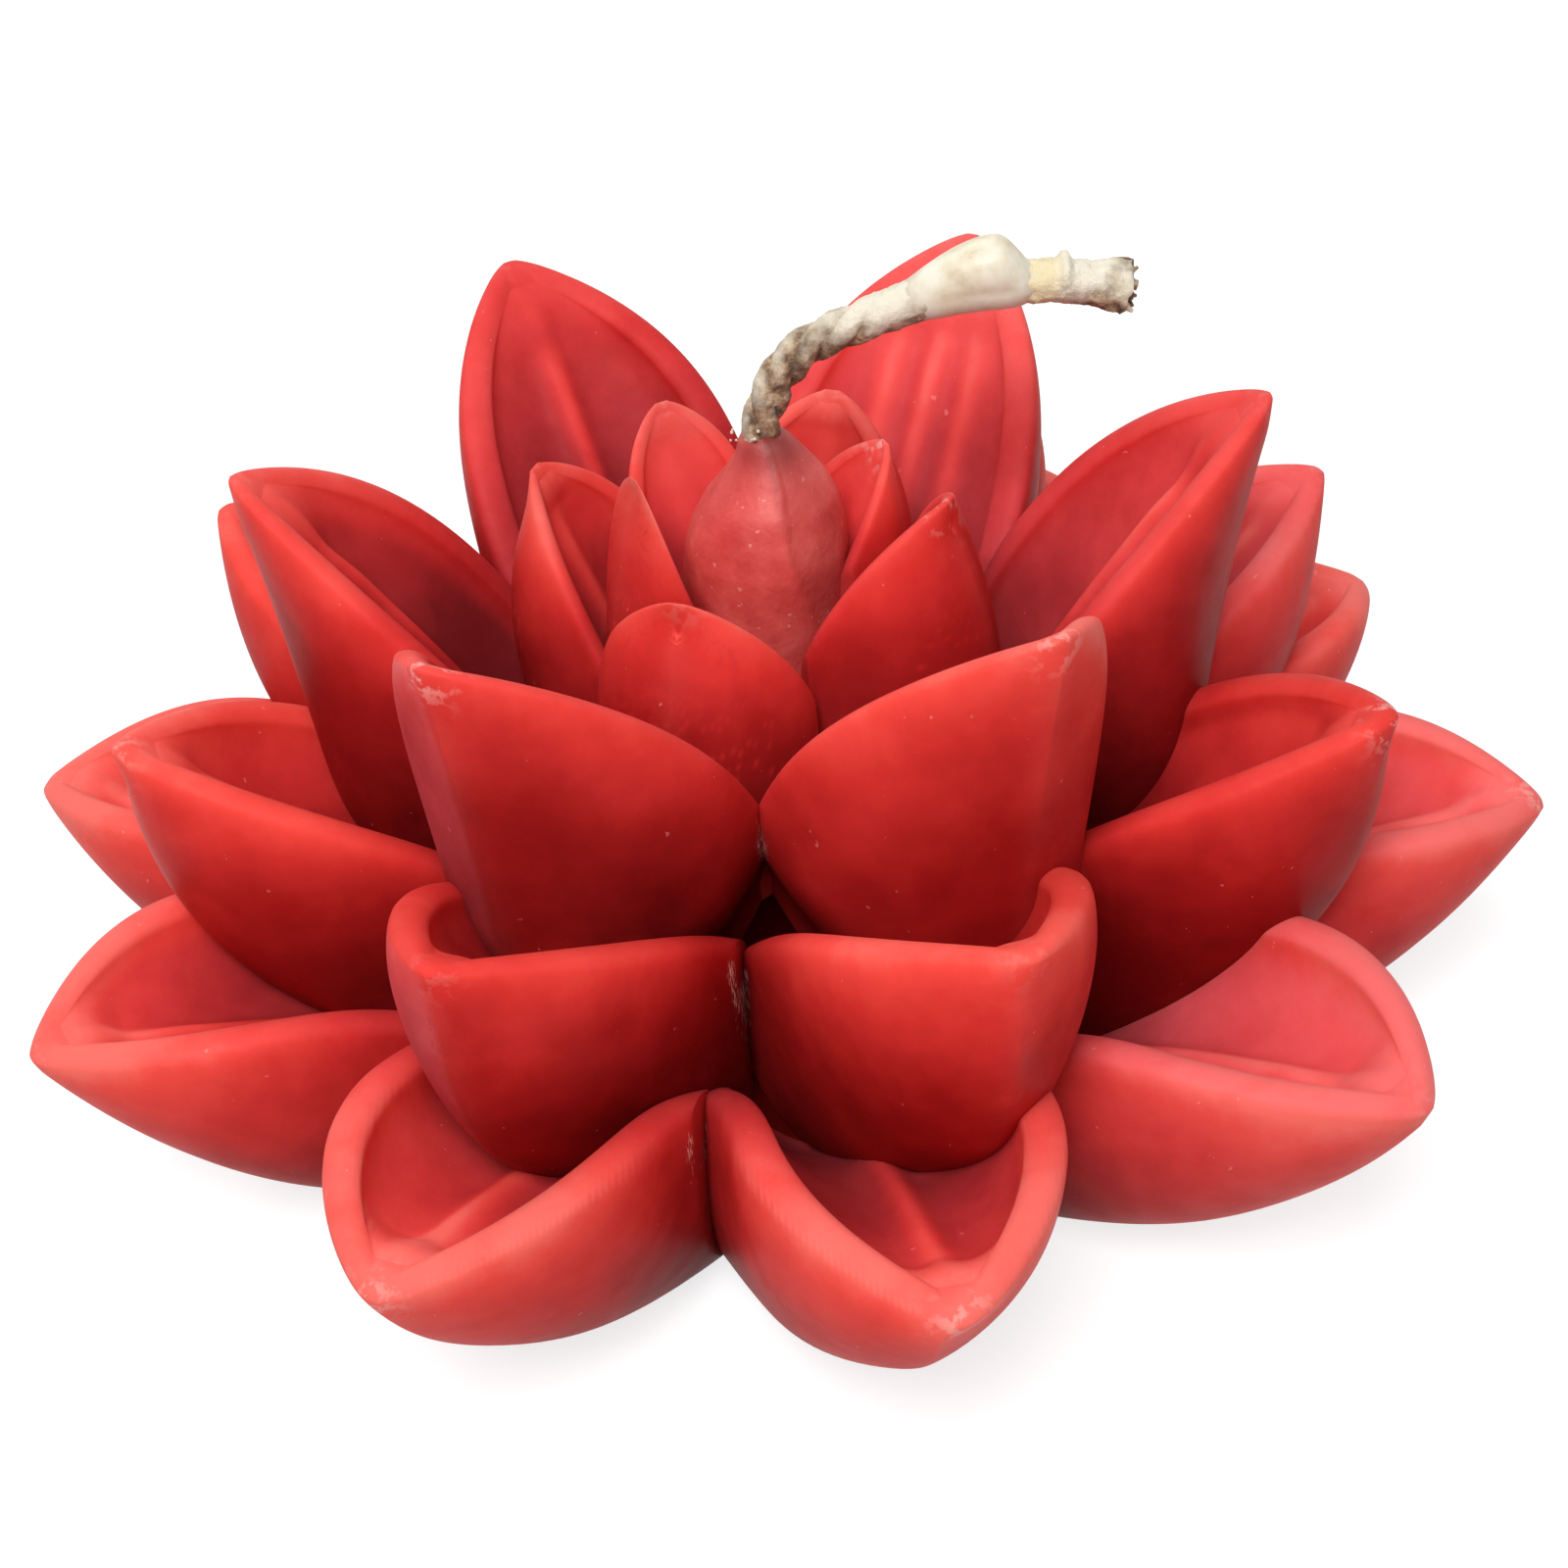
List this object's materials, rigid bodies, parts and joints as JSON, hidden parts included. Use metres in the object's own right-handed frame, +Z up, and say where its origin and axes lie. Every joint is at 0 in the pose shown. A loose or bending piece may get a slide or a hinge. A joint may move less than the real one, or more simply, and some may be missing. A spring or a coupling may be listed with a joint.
{
  "type": "lotus candle",
  "caption": "Lotus-shaped wax candle: rings of pointed, hollow, boat-shaped petals round a closed bud, with a bent cotton wick rising from its tip.",
  "frame": {"origin": "centre of the flower on the plane that the candle stands on", "axes": "+Z up along the flower's axis, out of the bud; +X towards the side that the wick leans to; -Y towards the viewer of the picture"},
  "size_m": [0.0999, 0.0996, 0.056],
  "materials": {
    "petal_wax": "satin, slightly translucent coral-red candle wax",
    "bud_wax": "dusty, duller rose-red candle wax",
    "pale_wax": "cream wax, glossy, half clear",
    "wick_cotton": "waxed twisted cotton, soiled with specks of wax"
  },
  "bodies": {
    "root": {"core": "petal_wax", "bud": "bud_wax", "wick": "wick_cotton", "wick_wax_drop": "pale_wax", "bud_petal_01": "petal_wax", "bud_petal_02": "petal_wax", "bud_petal_03": "petal_wax", "inner_petal_01": "petal_wax", "inner_petal_02": "petal_wax", "inner_petal_03": "petal_wax", "inner_petal_04": "petal_wax", "middle_petal_01": "petal_wax", "middle_petal_02": "petal_wax", "middle_petal_03": "petal_wax", "middle_petal_04": "petal_wax", "middle_petal_05": "petal_wax", "middle_petal_06": "petal_wax", "lower_petal_01": "petal_wax", "lower_petal_02": "petal_wax", "lower_petal_03": "petal_wax", "lower_petal_04": "petal_wax", "lower_petal_05": "petal_wax", "lower_petal_06": "petal_wax", "lower_petal_07": "petal_wax", "lower_petal_08": "petal_wax", "bottom_petal_01": "petal_wax", "bottom_petal_02": "petal_wax", "bottom_petal_03": "petal_wax", "bottom_petal_04": "petal_wax", "bottom_petal_05": "petal_wax", "bottom_petal_06": "petal_wax", "bottom_petal_07": "petal_wax", "bottom_petal_08": "petal_wax", "bottom_petal_09": "petal_wax", "bottom_petal_10": "petal_wax"}
  },
  "joints": []
}
